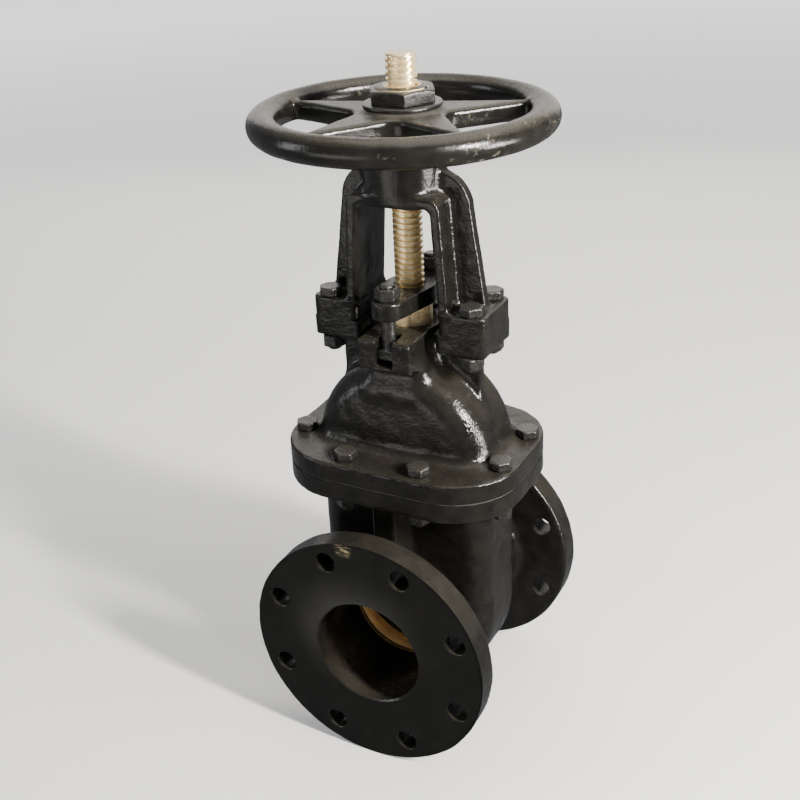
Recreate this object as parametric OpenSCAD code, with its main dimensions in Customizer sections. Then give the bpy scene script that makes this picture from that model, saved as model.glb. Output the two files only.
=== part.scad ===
// Flanged gate valve, outside screw and yoke, rising stem, bolted bonnet and bolted yoke.
// NPS 4, Class 125. Drawn closed. +Y runs along the pipe from inlet to outlet, +Z up the stem.
// The origin is the centre of the inlet flange's face.

/* [Pipe ends] */
// Distance between the two flange faces
face_to_face = 228.6; // [222:0.1:240]
// Outside diameter of each pipe flange
flange_d = 228.6; // [224:0.1:240]
// Thickness of each pipe flange
flange_t = 23.8; // [20:0.1:26]
// Diameter of the circle that the flange bolts lie on
bolt_circle_d = 190.5; // [184:0.1:194]
// Diameter of each flange bolt hole
flange_hole_d = 19.05; // [16:0.05:20]
// Number of bolts in each flange
flange_holes = 8; // [4:4:8]
// Bore of the port
bore_d = 101.6; // [96:0.1:102]

/* [Body and bonnet] */
// Outside radius of the round gate chamber, across the pipe
chamber_r = 85; // [84:0.5:87]
// Outside depth of the gate chamber, along the pipe
chamber_depth = 86; // [84:1:88]
// Thickness of the cast walls
wall = 9; // [8:0.5:10]
// Length of the bonnet joint, across the pipe
joint_length = 222; // [216:1:226]
// Width of the bonnet joint, along the pipe
joint_width = 167; // [160:1:168]
// Height of the body's joint face above the pipe axis
joint_height = 151.5; // [150:0.5:152]
// Thickness of the body's joint flange
body_joint_t = 18; // [17:0.5:20]
// Thickness of the bonnet's joint flange
bonnet_joint_t = 17.5; // [17:0.5:19]
// Thickness of the joint gasket
gasket_t = 1.5; // [1:0.1:2]

/* [Gate] */
// Slope of each seat from the vertical, in degrees
seat_angle = 5; // [4:0.5:6]
// Half thickness of the gate space at the pipe axis
seat_half = 28; // [26:0.5:28]
// Outside radius of the gate and of its face rings
gate_r = 58; // [57:0.5:59]

/* [Stem and handwheel] */
// Diameter over the stem's screw thread
stem_d = 25.4; // [25:0.1:26]
// Lead of the stem's screw thread
stem_lead = 5.08; // [4.8:0.01:5.8]
// Turns of the handwheel from shut to open
stem_turns = 21; // [18:1:21]
// Height of the stem's top above the pipe axis, valve shut
stem_top = 508; // [500:1:520]
// Outside diameter of the handwheel
wheel_d = 254; // [240:1:260]
// Height of the middle of the handwheel's rim
wheel_height = 457; // [456:0.5:458]
// Thickness of the handwheel's rim
rim_t = 24; // [22:0.5:24]
// Number of spokes
spokes = 5; // [3:1:5]

/* [Yoke and gland] */
// Height of the top of the yoke's feet
foot_top = 303; // [301:0.5:303.5]
// Height of the joint between the yoke's feet and the bonnet's ears
foot_bottom = 284; // [283:0.5:285]
// Height of the underside of the yoke's boss
boss_bottom = 390; // [389:0.5:391]
// Outside diameter of the yoke's boss
boss_d = 69; // [68:0.5:72]
// Number of packing rings in the stuffing box
packing_rings = 5; // [5:1:5]

/* [Hidden] */
$fn = 96;
arc_steps = 7;          // straight steps in a quarter of an arc
run = 0.05;             // radial clearance of a running fit
gap = 0.3;              // space between faces that move past each other
eps = 0.5;              // overlap that keeps two drawn volumes joined

half_face = face_to_face / 2;
bore_r = bore_d / 2;
neck_r = bore_r + 12;
chamber_half = chamber_depth / 2;
chamber_edge = 24;
inner_r = chamber_r - wall;
inner_half = chamber_half - wall;
inner_edge = chamber_edge - wall;
joint_corner = 61.5;

gasket_top = joint_height + gasket_t;
bonnet_joint_top = gasket_top + bonnet_joint_t;
dome_centre = 165;
dome_top = dome_centre + chamber_r;
cavity_top = dome_centre + inner_r;

// Half inch bolts hold the bonnet joint and the yoke
bolt_r = 6.35;
bolt_hole_r = 7.1;
bolt_flats = 19.05;
bolt_head_t = 7.9;
nut_t = 11;
joint_bolt_ends = [96.2, 31.2];
joint_bolt_sides = [35.4, 68.2];
yoke_bolt_place = [66.9, 20.9];

seat_ring_r = 60;
seat_ring_root = 39.5;
seat_groove = 34.4;
gate_ring_t = 4;
gate_ring_inner = 50;
gate_gap = 0.3;

stem_r = stem_d / 2;
stem_travel = stem_lead * stem_turns;
tee_bottom = 62;
tee_top = 72;
tee_neck_top = 84;
tee_neck_r = 9;
collar_r = 17;
collar_t = 9;
collar_cone = 5;

bush_bottom = 216;
bush_flange_t = 6;
bush_flange_r = 22;
bush_body_r = 17;
packing_floor = 232;
packing_r = 19.05;
packing_t = 6.35;
packing_top = packing_floor + packing_rings * packing_t;
box_top = 281;
box_half_x = 25;
box_half_y = 55;
lug_bottom = 253;
gland_bottom = 299;
gland_t = 16;
gland_top = gland_bottom + gland_t;
gland_bolt_y = 42.3;
gland_slot = 15;
slot_floor = 257;
tee_seat = 271;         // the gland bolts' heads pull up against this height

ear_half_y = 30;
ear_inner = 35;
ear_outer = 81.5;
ear_bottom = 266;
rib_half_t = 5.5;
foot_inner = 38;

boss_r = boss_d / 2;
boss_top = 441;
arm_t = 9;
arm_half_y = 29;
arm_top_x = 43;
arm_foot_x = 48.5;
web_top = boss_bottom + arm_t;
shoulder_r = 30;
shoulder_x = 30;
shoulder_z = 387;

nut_collar_r = 28;
nut_collar_top = 399.5;
nut_body_r = 23.5;
nut_top_r = 21.5;
nut_top = 483;
hub_r = 32.5;
hub_bottom = boss_top + gap;
hub_top = 466;
washer_top = 469.5;
wheel_nut_top = 481.5;
wheel_nut_flats = 51;
key_w = 6;
rim_r = (wheel_d - rim_t) / 2;
web_bottom_z = 447;
web_top_z = 464;
spoke_start = 106.5;     // direction of the first spoke, in degrees from +X

// ---------------------------------------------------------------- helpers

// Points along an arc in a plane
function arc(centre, r, from, to, steps = arc_steps) =
    [for (i = [0:steps]) let (a = from + (to - from) * i / steps) centre + r * [cos(a), sin(a)]];

// A rectangle's outline with round corners, centred
function round_outline(a, b, r) = concat(
    arc([a - r, b - r], r, 0, 90),
    arc([r - a, b - r], r, 90, 180),
    arc([r - a, r - b], r, 180, 270),
    arc([a - r, r - b], r, 270, 360)
);

// Moves a shape drawn about the stem and pipe axes to its place from the inlet face
module at_centre() {
    translate([0, half_face, 0]) children();
}

// The shape and its mirror image across the pipe's middle plane
module both_ends() {
    children();
    mirror([0, 1, 0]) children();
}

module both_sides() {
    children();
    mirror([1, 0, 0]) children();
}

// A cylinder along the pipe, from y0 to y1
module pipe_cylinder(r, y0, y1) {
    translate([0, y1, 0]) rotate([90, 0, 0]) cylinder(r = r, h = y1 - y0);
}

module ring(inner, outer, z0, z1) {
    translate([0, 0, z0]) difference() {
        cylinder(r = outer, h = z1 - z0);
        translate([0, 0, -1]) cylinder(r = inner, h = z1 - z0 + 2);
    }
}

module round_slab(a, b, r, z0, z1) {
    translate([0, 0, z0]) linear_extrude(z1 - z0) polygon(round_outline(a, b, r));
}

module block(x0, x1, y0, y1, z0, z1) {
    translate([x0, y0, z0]) cube([x1 - x0, y1 - y0, z1 - z0]);
}

// Half of a flat round box with rounded rims, standing on the plane z = 0 and lying along Y
module half_disc(r, half, edge) {
    profile = concat(
        [[0, -half]],
        arc([r - edge, edge - half], edge, -90, 0),
        arc([r - edge, half - edge], edge, 0, 90),
        [[0, half]]
    );
    rotate([90, 0, 0]) rotate_extrude(angle = 180) polygon(profile);
}

module bonnet_bolt_places() {
    for (p = [joint_bolt_ends, joint_bolt_sides], sx = [-1, 1], sy = [-1, 1])
        translate([sx * p.x, sy * p.y, 0]) children();
}

module yoke_bolt_places() {
    for (sx = [-1, 1], sy = [-1, 1])
        translate([sx * yoke_bolt_place.x, sy * yoke_bolt_place.y, 0]) children();
}

module gland_bolt_places() {
    for (sy = [-1, 1]) translate([0, sy * gland_bolt_y, 0]) children();
}

// A hexagon prism with its corners turned down by a cone at each end that is asked for
module hex_prism(flats, z0, z1, top = true, bottom = false) {
    corner = flats / sqrt(3);
    h = z1 - z0;
    turned = (corner + 1 - flats / 2) / 2;
    translate([0, 0, z0]) intersection() {
        cylinder(r = corner, h = h, $fn = 6);
        rotate_extrude() polygon([
            [0, 0],
            [bottom ? flats / 2 : corner + 1, 0],
            [corner + 1, bottom ? turned : 1],
            [corner + 1, top ? h - turned : h],
            [top ? flats / 2 : corner + 1, h],
            [0, h]
        ]);
    }
}

module hex_bolt(z_under, z_end) {
    hex_prism(bolt_flats, z_under, z_under + bolt_head_t);
    translate([0, 0, z_end]) cylinder(r = bolt_r, h = z_under - z_end + eps);
}

module hex_nut(z0, z1) {
    difference() {
        hex_prism(bolt_flats, z0, z1, top = true, bottom = true);
        translate([0, 0, z0 - 1]) cylinder(r = bolt_r, h = z1 - z0 + 2);
    }
}

// The volume between two sloping planes, wider towards the top
module gate_space(half) {
    reach = 130;
    spread = reach * tan(seat_angle);
    rotate([90, 0, 90]) translate([0, 0, -100]) linear_extrude(200)
        polygon([
            [spread - half, -reach], [half - spread, -reach],
            [half + spread, reach], [-half - spread, reach]
        ]);
}

// ---------------------------------------------------------------- body

// One pipe end: flange with its root radius, and the neck down to the chamber
module pipe_end() {
    root = 8;
    flange_back = half_face - flange_t;
    profile = concat(
        [[0, 0], [flange_d / 2, 0], [flange_d / 2, flange_t]],
        arc([neck_r + root, flange_t + root], root, 270, 180),
        [[neck_r, half_face - 20], [0, half_face - 20]]
    );
    translate([0, -half_face, 0]) rotate([-90, 0, 0]) rotate_extrude() polygon(profile);
}

// Web that carries the joint flange from the neck and the chamber wall
module gusset() {
    block(
        -12, 12, -chamber_half - 28, 5 - chamber_half,
        neck_r - 3, joint_height - body_joint_t + eps
    );
}

module guide_rail() {
    block(gate_r - 0.5, inner_r + 4, -rib_half_t, rib_half_t, -30, joint_height);
}

module seat_boss() {
    difference() {
        pipe_cylinder(seat_ring_r + 5, -inner_half - 4, -10);
        gate_space(seat_half + 2);
    }
}

module body() {
    color([0.07, 0.068, 0.062]) at_centre() difference() {
        union() {
            difference() {
                union() {
                    both_ends() pipe_end();
                    mirror([0, 0, 1]) half_disc(chamber_r, chamber_half, chamber_edge);
                    round_slab(chamber_r, chamber_half, chamber_edge, 0, joint_height - 2);
                    round_slab(
                        joint_length / 2, joint_width / 2, joint_corner,
                        joint_height - body_joint_t, joint_height
                    );
                    both_ends() gusset();
                }
                mirror([0, 0, 1]) half_disc(inner_r, inner_half, inner_edge);
                round_slab(inner_r, inner_half, inner_edge, 0, joint_height + 1);
            }
            both_sides() guide_rail();
            both_ends() seat_boss();
        }
        pipe_cylinder(bore_r, -half_face - 1, half_face + 1);
        both_ends() pipe_cylinder(seat_ring_r, -seat_ring_root, -10);
        both_ends() for (i = [0:flange_holes - 1])
            rotate([0, (i + 0.5) * 360 / flange_holes, 0])
                translate([bolt_circle_d / 2, 0, 0])
                    pipe_cylinder(flange_hole_d / 2, -half_face - 1, flange_t + 1 - half_face);
        bonnet_bolt_places()
            translate([0, 0, joint_height - body_joint_t - 1])
                cylinder(r = bolt_hole_r, h = body_joint_t + 2);
    }
}

module seat_ring() {
    color([0.72, 0.5, 0.22]) difference() {
        pipe_cylinder(seat_ring_r, -seat_ring_root, -10);
        gate_space(seat_half);
        pipe_cylinder(bore_r, -seat_ring_root - 1, 0);
        pipe_cylinder(bore_r + 1.5, -seat_groove - 1, -seat_groove);
    }
}

module seat_ring_inlet() {
    at_centre() seat_ring();
}

module seat_ring_outlet() {
    at_centre() mirror([0, 1, 0]) seat_ring();
}

// ---------------------------------------------------------------- bonnet

module bonnet_gasket() {
    color([0.16, 0.15, 0.14]) at_centre() difference() {
        round_slab(
            joint_length / 2 - 1, joint_width / 2 - 1, joint_corner - 1, joint_height, gasket_top
        );
        round_slab(inner_r, inner_half, inner_edge, joint_height - 1, gasket_top + 1);
        bonnet_bolt_places()
            translate([0, 0, joint_height - 1]) cylinder(r = bolt_hole_r, h = gasket_t + 2);
    }
}

// Box on top of the dome that holds the packing, with a slot for each gland bolt
module stuffing_box() {
    translate([0, 0, bush_bottom + bush_flange_t])
        cylinder(r = box_half_x + 2, h = box_top - bush_bottom - bush_flange_t);
    block(-box_half_x, box_half_x, -box_half_y, box_half_y, lug_bottom, box_top);
}

// Slot open towards the pipe's end, with a wider pocket for the gland bolt's head
module gland_bolt_slot() {
    block(-gland_slot / 2, gland_slot / 2, -10, 40, slot_floor, box_top + 1);
    block(-12.6, 12.6, -7, 7, slot_floor, tee_seat);
}

// Ear that carries one foot of the yoke, and the web below it
module bonnet_ear() {
    block(ear_inner, ear_outer, -ear_half_y, ear_half_y, ear_bottom, foot_bottom);
    block(0, ear_outer - 14, -rib_half_t, rib_half_t, dome_centre + 20, ear_bottom + eps);
}

module bonnet() {
    color([0.07, 0.068, 0.062]) at_centre() difference() {
        union() {
            difference() {
                union() {
                    round_slab(
                        joint_length / 2, joint_width / 2, joint_corner,
                        gasket_top, bonnet_joint_top
                    );
                    round_slab(
                        chamber_r, chamber_half, chamber_edge, gasket_top + 2, dome_centre
                    );
                    translate([0, 0, dome_centre])
                        half_disc(chamber_r, chamber_half, chamber_edge);
                    both_sides() bonnet_ear();
                    block(-box_half_x, box_half_x, -46, 46, dome_centre + 55, lug_bottom + eps);
                }
                round_slab(inner_r, inner_half, inner_edge, gasket_top - 1, dome_centre);
                translate([0, 0, dome_centre]) half_disc(inner_r, inner_half, inner_edge);
            }
            stuffing_box();
        }
        translate([0, 0, bush_bottom]) cylinder(r = bush_body_r, h = box_top - bush_bottom);
        translate([0, 0, packing_floor]) cylinder(r = packing_r, h = box_top - packing_floor + 1);
        both_ends() translate([0, gland_bolt_y, 0]) gland_bolt_slot();
        bonnet_bolt_places()
            translate([0, 0, gasket_top - 1]) cylinder(r = bolt_hole_r, h = bonnet_joint_t + 2);
        yoke_bolt_places()
            translate([0, 0, ear_bottom - 1])
                cylinder(r = bolt_hole_r, h = foot_bottom - ear_bottom + 2);
    }
}

module bonnet_bolts() {
    color([0.09, 0.088, 0.08]) at_centre() bonnet_bolt_places()
        hex_bolt(bonnet_joint_top, joint_height - body_joint_t - nut_t - 3);
}

module bonnet_nuts() {
    color([0.09, 0.088, 0.08]) at_centre() bonnet_bolt_places()
        hex_nut(joint_height - body_joint_t - nut_t, joint_height - body_joint_t);
}

// Bronze bush that the stem's collar seals against when the valve is fully open
module backseat_bush() {
    color([0.72, 0.5, 0.22]) at_centre() difference() {
        union() {
            translate([0, 0, bush_bottom]) cylinder(r = bush_flange_r, h = bush_flange_t);
            translate([0, 0, bush_bottom]) cylinder(r = bush_body_r, h = packing_floor - bush_bottom);
        }
        translate([0, 0, bush_bottom - 1]) cylinder(r = stem_r + run, h = 20);
        translate([0, 0, bush_bottom - 1])
            cylinder(r1 = collar_r - 1, r2 = stem_r + run, h = collar_cone);
    }
}

module packing_ring(index) {
    z = packing_floor + (index - 1) * packing_t;
    color([0.2, 0.19, 0.17]) at_centre() ring(stem_r + run, packing_r, z, z + packing_t);
}

// ---------------------------------------------------------------- gland

module gland_bush() {
    nose_r = packing_r - 0.15;
    collar = 4;
    color([0.78, 0.56, 0.25]) at_centre() difference() {
        union() {
            translate([0, 0, packing_top]) cylinder(r = nose_r, h = gland_bottom - packing_top + eps);
            translate([0, 0, gland_bottom]) cylinder(r = nose_r + 2.5, h = collar);
        }
        translate([0, 0, packing_top - 1])
            cylinder(r = stem_r + run, h = gland_bottom - packing_top + collar + 2);
    }
}

module gland_flange() {
    waist_r = 23;
    end_r = 14;
    color([0.07, 0.068, 0.062]) at_centre() difference() {
        for (s = [-1, 1]) hull() {
            translate([0, 0, gland_bottom]) cylinder(r = waist_r, h = gland_t, $fn = 48);
            translate([0, s * gland_bolt_y, gland_bottom]) cylinder(r = end_r, h = gland_t, $fn = 48);
        }
        translate([0, 0, gland_bottom - 1]) cylinder(r = stem_r + gap, h = gland_t + 2);
        translate([0, 0, gland_bottom - 1]) cylinder(r = packing_r - 0.15 + 2.5, h = 5);
        gland_bolt_places()
            translate([0, 0, gland_bottom - 1]) cylinder(r = bolt_hole_r, h = gland_t + 2);
    }
}

// Tee-headed bolts, held in the pockets of the stuffing box
module gland_bolts() {
    head_t = 10;
    head_half = 12;
    color([0.09, 0.088, 0.08]) at_centre() gland_bolt_places() {
        block(-head_half, head_half, -bolt_r, bolt_r, tee_seat - head_t, tee_seat);
        translate([0, 0, tee_seat - eps]) cylinder(r = bolt_r, h = gland_top + nut_t + 3 - tee_seat);
    }
}

module gland_nuts() {
    color([0.09, 0.088, 0.08]) at_centre() gland_bolt_places() hex_nut(gland_top, gland_top + nut_t);
}

// ---------------------------------------------------------------- yoke

// Outline of one arm's flat plate and of the arch over it, seen along the pipe
function arm_outline() = concat(
    [[0, boss_bottom], [arm_top_x - arm_t - 6, boss_bottom]],
    arc([arm_top_x - arm_t - 6, boss_bottom - 6], 6, 90, 0, 4),
    [[arm_foot_x - arm_t, foot_top - 1], [arm_foot_x, foot_top - 1]],
    arc([arm_top_x - 9.5, web_top - 9.5], 9.5, 0, 90, 5),
    [[0, web_top]]
);

// Outline of the rib that stiffens the arm
function rib_outline() = concat(
    [[20, boss_bottom + 2], [arm_top_x - 5, boss_bottom + 2]],
    [[arm_foot_x - 5, foot_top - 1], [73, foot_top - 1]],
    arc([shoulder_x, shoulder_z], shoulder_r, 0, 90, 8),
    [[20, shoulder_z + shoulder_r]]
);

module yoke_foot() {
    translate([(foot_inner + ear_outer) / 2, 0, 0])
        round_slab(
            (ear_outer - foot_inner) / 2, ear_half_y, 7, foot_bottom, foot_top
        );
}

module yoke() {
    color([0.07, 0.068, 0.062]) at_centre() difference() {
        union() {
            translate([0, 0, boss_bottom]) cylinder(r = boss_r, h = boss_top - boss_bottom);
            both_sides() {
                translate([0, arm_half_y, 0]) rotate([90, 0, 0])
                    linear_extrude(2 * arm_half_y) polygon(arm_outline());
                translate([0, rib_half_t, 0]) rotate([90, 0, 0])
                    linear_extrude(2 * rib_half_t) polygon(rib_outline());
                yoke_foot();
            }
        }
        translate([0, 0, boss_bottom - 1]) cylinder(r = nut_body_r + run, h = boss_top);
        translate([0, 0, boss_bottom - 1])
            cylinder(r = nut_collar_r + gap, h = nut_collar_top + gap - boss_bottom + 1);
        yoke_bolt_places()
            translate([0, 0, foot_bottom - 1])
                cylinder(r = bolt_hole_r, h = foot_top - foot_bottom + 2);
    }
}

module yoke_bolts() {
    color([0.09, 0.088, 0.08]) at_centre() yoke_bolt_places()
        hex_bolt(foot_top, ear_bottom - nut_t - 3);
}

module yoke_nuts() {
    color([0.09, 0.088, 0.08]) at_centre() yoke_bolt_places() hex_nut(ear_bottom - nut_t, ear_bottom);
}

// ---------------------------------------------------------------- handwheel and stem nut

module key_space(extra) {
    block(
        nut_top_r - 3 - extra, nut_top_r + 3 + extra,
        -key_w / 2 - extra, key_w / 2 + extra,
        hub_bottom, hub_top - 0.5 + extra
    );
}

module stem_nut() {
    color([0.75, 0.54, 0.24]) at_centre() difference() {
        rotate_extrude() polygon([
            [stem_r + run, boss_bottom + 0.5],
            [nut_collar_r, boss_bottom + 0.5],
            [nut_collar_r, nut_collar_top],
            [nut_body_r, nut_collar_top],
            [nut_body_r, hub_bottom],
            [nut_top_r, hub_bottom],
            [nut_top_r, nut_top - 1],
            [nut_top_r - 1, nut_top],
            [stem_r + run, nut_top]
        ]);
        key_space(0);
    }
}

module wheel_key() {
    color([0.3, 0.3, 0.3]) at_centre() key_space(0);
}

// Opening between two spokes: a triangle with round corners, its outer side along the rim
module wheel_opening() {
    corner = 14;
    apex = 55;
    reach = 100;
    half_turn = 180 / spokes - 10.5;
    intersection() {
        hull() {
            translate([apex, 0]) circle(r = corner, $fn = 32);
            for (i = [-2:2])
                translate(reach * [cos(i * half_turn / 2), sin(i * half_turn / 2)])
                    circle(r = corner, $fn = 32);
        }
        circle(r = rim_r - rim_t / 2 + 1);
    }
}

module handwheel() {
    web_r = rim_r - rim_t / 2 + 6;
    color([0.07, 0.068, 0.062]) at_centre() difference() {
        union() {
            translate([0, 0, wheel_height]) rotate_extrude()
                translate([rim_r, 0]) circle(r = rim_t / 2, $fn = 48);
            difference() {
                translate([0, 0, web_bottom_z]) cylinder(r = web_r, h = web_top_z - web_bottom_z);
                for (i = [0:spokes - 1])
                    rotate([0, 0, spoke_start + (i + 0.5) * 360 / spokes])
                        translate([0, 0, web_bottom_z - 1])
                            linear_extrude(web_top_z - web_bottom_z + 2) wheel_opening();
            }
            translate([0, 0, hub_bottom]) cylinder(r = hub_r, h = hub_top - hub_bottom);
        }
        translate([0, 0, hub_bottom - 1]) cylinder(r = nut_top_r, h = hub_top - hub_bottom + 2);
        key_space(0);
    }
}

module wheel_washer() {
    color([0.08, 0.078, 0.07]) at_centre() ring(nut_top_r, hub_r, hub_top, washer_top);
}

module wheel_nut() {
    color([0.08, 0.078, 0.07]) at_centre() difference() {
        hex_prism(wheel_nut_flats, washer_top, wheel_nut_top);
        translate([0, 0, washer_top - 1]) cylinder(r = nut_top_r, h = wheel_nut_top - hub_top + 2);
    }
}

// ---------------------------------------------------------------- stem and gate

module stem() {
    collar_top = bush_bottom - stem_travel - 0.5;
    color([0.78, 0.6, 0.3]) at_centre() {
        block(-17, 17, -11, 11, tee_bottom, tee_top);
        rotate_extrude() polygon([
            [0, tee_top - eps],
            [tee_neck_r, tee_top - eps],
            [tee_neck_r, tee_neck_top],
            [stem_r, tee_neck_top],
            [stem_r, collar_top - collar_t],
            [collar_r, collar_top - collar_t],
            [collar_r, collar_top - collar_cone],
            [stem_r, collar_top],
            [stem_r, stem_top - 2],
            [stem_r - 2, stem_top],
            [0, stem_top]
        ]);
    }
}

// Gate casting: sloping faces, guide slots at the sides and a tee slot for the stem on top
module gate() {
    ear_reach = 66;
    ear_half_z = 22;
    ear_half_t = 13;
    slot_x = 57;
    slot_half = rib_half_t + 0.7;
    lug_x = 26;
    lug_y = 16;
    casting_half = seat_half - gate_gap - gate_ring_t;
    color([0.1, 0.095, 0.09]) at_centre() difference() {
        union() {
            intersection() {
                pipe_cylinder(gate_r, -40, 40);
                gate_space(casting_half);
            }
            block(-ear_reach, ear_reach, -ear_half_t, ear_half_t, -ear_half_z, ear_half_z);
            block(-lug_x, lug_x, -lug_y, lug_y, 40, tee_neck_top);
        }
        both_sides() block(slot_x, ear_reach + 1, -slot_half, slot_half, -ear_half_z - 1, ear_half_z + 1);
        block(-17.5, 17.5, -40, 40, tee_bottom - 0.5, tee_top + 0.5);
        block(-tee_neck_r - 0.5, tee_neck_r + 0.5, -40, 40, tee_bottom, tee_neck_top + 1);
    }
}

module gate_ring() {
    color([0.75, 0.54, 0.24]) difference() {
        intersection() {
            pipe_cylinder(gate_r, -40, 0);
            gate_space(seat_half - gate_gap);
        }
        gate_space(seat_half - gate_gap - gate_ring_t);
        pipe_cylinder(gate_ring_inner, -41, 1);
    }
}

module gate_ring_inlet() {
    at_centre() gate_ring();
}

module gate_ring_outlet() {
    at_centre() mirror([0, 1, 0]) gate_ring();
}

// ---------------------------------------------------------------- nodes

body();
seat_ring_inlet();
seat_ring_outlet();
bonnet_gasket();
bonnet();
bonnet_bolts();
bonnet_nuts();
backseat_bush();
packing_ring(1);  // packing_ring_1
packing_ring(2);  // packing_ring_2
packing_ring(3);  // packing_ring_3
packing_ring(4);  // packing_ring_4
packing_ring(5);  // packing_ring_5
gland_bush();
gland_flange();
gland_bolts();
gland_nuts();
yoke();
yoke_bolts();
yoke_nuts();
stem_nut();
handwheel();
wheel_key();
wheel_washer();
wheel_nut();
stem();
gate();
gate_ring_inlet();
gate_ring_outlet();
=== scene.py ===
"""Looks of a flanged gate valve with outside screw and yoke, closed, on a plain pale floor.

Castings are modelled as distance fields, so that their walls run into each other in soft fillets as
sand castings do, then turned into meshes and machined with sharp cutters. Fasteners, the screw thread
and the turned parts are built from their own profiles. Lengths are in millimetres from the point where
the stem axis meets the pipe axis: X across the pipe, Y along it, Z up the stem. Fields and cutters run
some millimetres past the faces they are cut at, so that no two surfaces lie on each other.
"""

import copy
import math

import bmesh
import bpy
import numpy as np
import openvdb
from mathutils import Matrix, Vector


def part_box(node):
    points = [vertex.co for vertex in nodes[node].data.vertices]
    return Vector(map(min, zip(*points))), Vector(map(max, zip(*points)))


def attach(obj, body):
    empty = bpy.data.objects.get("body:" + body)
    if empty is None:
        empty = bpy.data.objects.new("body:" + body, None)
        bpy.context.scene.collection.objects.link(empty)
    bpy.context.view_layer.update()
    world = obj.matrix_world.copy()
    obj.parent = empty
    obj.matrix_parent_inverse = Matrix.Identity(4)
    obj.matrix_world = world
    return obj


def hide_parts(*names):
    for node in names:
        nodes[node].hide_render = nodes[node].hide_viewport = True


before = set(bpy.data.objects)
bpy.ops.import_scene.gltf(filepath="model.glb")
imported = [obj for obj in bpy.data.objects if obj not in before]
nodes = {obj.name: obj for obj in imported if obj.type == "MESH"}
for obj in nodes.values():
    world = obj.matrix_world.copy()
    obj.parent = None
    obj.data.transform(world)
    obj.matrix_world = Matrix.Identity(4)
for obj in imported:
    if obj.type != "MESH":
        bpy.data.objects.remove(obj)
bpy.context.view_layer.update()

MM = 0.001
cad_body_low, cad_body_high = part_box("body")
CENTRE = Vector((0, (cad_body_low.y + cad_body_high.y) / 2, 0))


# ---------------------------------------------------------------- sizes taken from the frame

def corners(node):
    """Lowest and highest corner of a CAD node, in millimetres from the valve's centre."""
    return [(point - CENTRE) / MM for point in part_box(node)]


def heights(node):
    """Where a CAD node begins and ends along the stem."""
    return [point.z for point in corners(node)]


body_low, body_high = corners("body")
bonnet_low, bonnet_high = corners("bonnet")
flange_low, flange_high = corners("gland_flange")
wheel_low, wheel_high = corners("handwheel")
washer_low, washer_high = corners("wheel_washer")
stem_low, stem_high = corners("stem")

half_face = body_high.y
flange_r = -body_low.z
joint_top = body_high.z
joint_half_x = bonnet_high.x
joint_half_y = bonnet_high.y
gasket_top = bonnet_low.z
foot_bottom = bonnet_high.z
boss_top = corners("yoke")[1].z
gland_bottom = flange_low.z
gland_top = flange_high.z
wheel_r = wheel_high.x
hub_bottom = wheel_low.z
washer_r = washer_high.x
washer_bottom = washer_low.z
washer_top = washer_high.z
stem_top = stem_high.z

# Sizes of single features, which no box shows

# Pipe ends
FLANGE_T = 23.8
FLANGE_RIM_CHAMFER = 1.0
BORE_R = 50.8
BORE_CHAMFER = 1.4
NECK_R = 62.8
BOLT_CIRCLE_R = 95.25
FLANGE_HOLE_R = 9.525
FLANGE_HOLES = 8
FLANGE_HOLE_CHAMFER = 0.5

# Gate chamber and dome
CHAMBER_R = 85
CHAMBER_HALF = 43
CHAMBER_EDGE = 24
WALL = 9
DOME_CENTRE = 165
DOME_BULGE = 5
RAIL_INNER = 57.5
RAIL_BOTTOM = -30
POST_HALF = 12
POST_REACH = 28

# Joint between body and bonnet
JOINT_CORNER = 61.5
BODY_JOINT_T = 18
BONNET_JOINT_T = 17.5

# Seats and gate
SEAT_R = 60
SEAT_ROOT = 39.5
SEAT_SLOPE = math.tan(math.radians(5))
SEAT_HALF = 28
SEAT_POCKET_START = 10
GATE_R = 58
GATE_HALF = 23.7
GATE_HOLLOW_R = 40
GATE_HOLLOW_DEPTH = 4
GATE_EAR_INNER = 40
GATE_EAR_HALF = 13
GATE_LUG_HALF_X = 26
GATE_LUG_HALF_Y = 16
TEE_SLOT_HALF = 17.5
TEE_SLOT_BOTTOM = 61.5
TEE_SLOT_TOP = 72.5
TEE_NECK_HALF = 9.5
RIB_HALF = 5.5

# Fasteners
BOLT_R = 6.35
BOLT_HOLE_R = 7.1
BOLT_FLATS = 19.05
BOLT_STEP = 0.75
HEXAGON_CREASE = 50

# Stem and its thread
STEM_R = 12.7
STEM_FIT = 0.05
THREAD_LEAD = 5.08
THREAD_DEPTH = 2.0
THREAD_BOTTOM = 309
COLLAR_R = 17
BACKSEAT_BOTTOM = 216
LIFT = 106.7
COLLAR_GAP = 0.5
TEE_HEAD_T = 10
TEE_HEAD_HALF_Y = 11

# Stuffing box, its lugs and the gland
BOX_BOTTOM = 222
BOX_TOP = 281
BOX_HALF_X = 25
BOX_HALF_Y = 55
BOX_R = BOX_HALF_X + 2
PEDESTAL_HALF_Y = 38
BACKSEAT_HOLE_R = 17
BACKSEAT_HOLE_BOTTOM = 205
PACKING_R = 19.05
PACKING_BOTTOM = 232
LUG_BOTTOM = 253
SLOT_FLOOR = 257
SLOT_HALF = 7.5
POCKET_HALF_X = 12.6
POCKET_HALF_Y = 7
TEE_SEAT = 271
GLAND_BOLT_Y = 42.3
GLAND_WAIST = 23
GLAND_SEAT_R = 21.4
GLAND_HOLE_R = 13.2
BUSH_FLANGE_T = 4

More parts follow.
